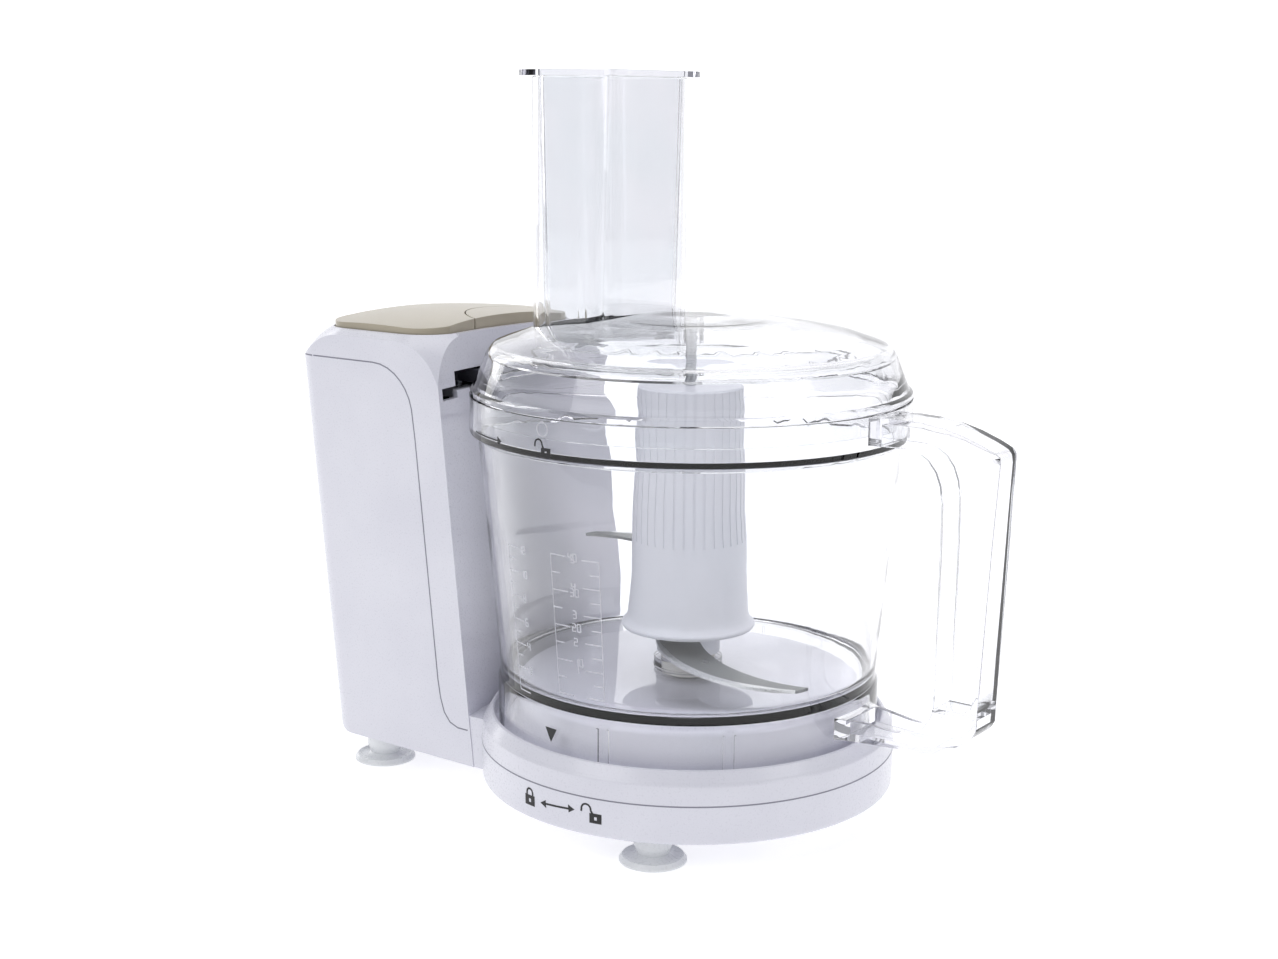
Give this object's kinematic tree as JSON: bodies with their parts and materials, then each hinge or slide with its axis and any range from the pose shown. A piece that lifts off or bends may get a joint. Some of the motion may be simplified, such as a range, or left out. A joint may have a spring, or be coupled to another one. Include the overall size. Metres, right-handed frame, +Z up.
{
  "type": "food processor",
  "caption": "Compact food processor: leaning motor tower with push buttons, clear bowl with handle, domed lid with feed tube and pusher, and a two-level blade unit on a belt-driven spindle.",
  "frame": {"origin": "centre of the outline's box on the surface that the four suction feet stand on", "axes": "+X from the motor tower to the bowl's handle, +Z up along the bowl's axis"},
  "size_m": [0.3148, 0.1786, 0.2981],
  "materials": {
    "housing_white": "glossy",
    "button_beige": "glossy",
    "clear_plastic": "clear and polished",
    "hub_plastic": "satin",
    "natural_plastic": "satin",
    "blade_steel": "ground and polished",
    "shaft_steel": "turned",
    "zinc_steel": "zinc plated",
    "lamination_steel": "varnished",
    "copper_wire": "enamelled",
    "bearing_bronze": "sintered",
    "carbon": "matt",
    "black_plastic": "matt",
    "lever_grey": "satin",
    "foot_rubber": "translucent and soft",
    "black_rubber": "matt",
    "board_green": "solder mask"
  },
  "bodies": {
    "drive_base": {"lower_housing": "housing_white", "upper_housing": "housing_white", "bottom_plate": "housing_white", "suction_feet": "foot_rubber", "base_screws": "zinc_steel", "cord_bush": "black_rubber", "button_springs": "shaft_steel", "switch_bracket": "natural_plastic", "microswitches": "black_plastic", "interlock_pivot": "shaft_steel", "interlock_switch": "black_plastic", "circuit_board": "board_green", "motor_stator": "lamination_steel", "field_coils": "copper_wire", "motor_lower_bracket": "zinc_steel", "motor_upper_bracket": "zinc_steel", "bracket_screws": "zinc_steel", "motor_bearings": "bearing_bronze", "brush_holders": "bearing_bronze", "carbon_brushes": "carbon", "drive_belt": "black_rubber", "spindle_bearings": "bearing_bronze", "spindle_seal": "black_rubber"},
    "rotor": {"motor_shaft": "shaft_steel", "motor_armature": "lamination_steel", "commutator": "copper_wire", "cooling_fan": "black_plastic", "motor_pulley": "shaft_steel"},
    "drive_shaft": {"spindle": "shaft_steel", "drive_pulley": "natural_plastic"},
    "bowl_seat": {"bowl_sleeve": "natural_plastic"},
    "bowl_unit": {"bowl": "clear_plastic", "bowl_handle": "clear_plastic"},
    "blade_unit": {"blade_hub": "hub_plastic", "lower_blade": "blade_steel", "upper_blade": "blade_steel"},
    "lid_centre": {"lid_pin": "shaft_steel"},
    "lid_unit": {"lid": "clear_plastic", "feed_tube": "clear_plastic"},
    "food_pusher": {"pusher": "clear_plastic"},
    "on_key": {"on_button": "button_beige"},
    "pulse_key": {"pulse_button": "button_beige"},
    "interlock": {"interlock_lever": "lever_grey"}
  },
  "joints": [
    {"name": "motor_spin", "type": "hinge", "parent": "drive_base", "child": "rotor", "pos_m": [-0.11045, 0, 0.071], "axis": [0, 0, 1], "continuous": true},
    {"name": "spindle_spin", "type": "hinge", "parent": "drive_base", "child": "drive_shaft", "pos_m": [0.01655, 0, 0.051], "axis": [0, 0, 1], "continuous": true},
    {"name": "bowl_lift", "type": "slide", "parent": "drive_base", "child": "bowl_seat", "axis": [0, 0, 1], "range_m": [0, 0.17]},
    {"name": "bowl_twist", "type": "hinge", "parent": "bowl_seat", "child": "bowl_unit", "pos_m": [0.01655, 0, 0.057], "axis": [0, 0, 1], "range_deg": [0, 22]},
    {"name": "blade_spin", "type": "hinge", "parent": "bowl_seat", "child": "blade_unit", "pos_m": [0.01655, 0, 0.091], "axis": [0, 0, 1], "continuous": true},
    {"name": "lid_lift", "type": "slide", "parent": "bowl_unit", "child": "lid_centre", "axis": [0, 0, 1], "range_m": [0, 0.06]},
    {"name": "lid_twist", "type": "hinge", "parent": "lid_centre", "child": "lid_unit", "pos_m": [0.01655, 0, 0.191], "axis": [0, 0, 1], "range_deg": [0, 22]},
    {"name": "pusher_slide", "type": "slide", "parent": "lid_unit", "child": "food_pusher", "axis": [0, 0, 1], "range_m": [0, 0.11]},
    {"name": "on_press", "type": "slide", "parent": "drive_base", "child": "on_key", "axis": [0, 0, -1], "range_m": [0, 0.0025], "stiffness_N_per_m": 600, "springref_m": -0.003, "deforming": ["button_springs"]},
    {"name": "pulse_press", "type": "slide", "parent": "drive_base", "child": "pulse_key", "axis": [0, 0, -1], "range_m": [0, 0.0025], "stiffness_N_per_m": 600, "springref_m": -0.003, "deforming": ["button_springs"]},
    {"name": "interlock_swing", "type": "hinge", "parent": "drive_base", "child": "interlock", "pos_m": [-0.08945, -0.022, 0.171], "axis": [0, 0, 1], "range_deg": [-15, 0]}
  ],
  "couplings": [
    {"joint": "spindle_spin", "follows": "motor_spin", "ratio": 0.19444},
    {"joint": "blade_spin", "follows": "motor_spin", "ratio": 0.19444},
    {"joint": "interlock_swing", "follows": "lid_twist", "ratio": -0.68}
  ]
}
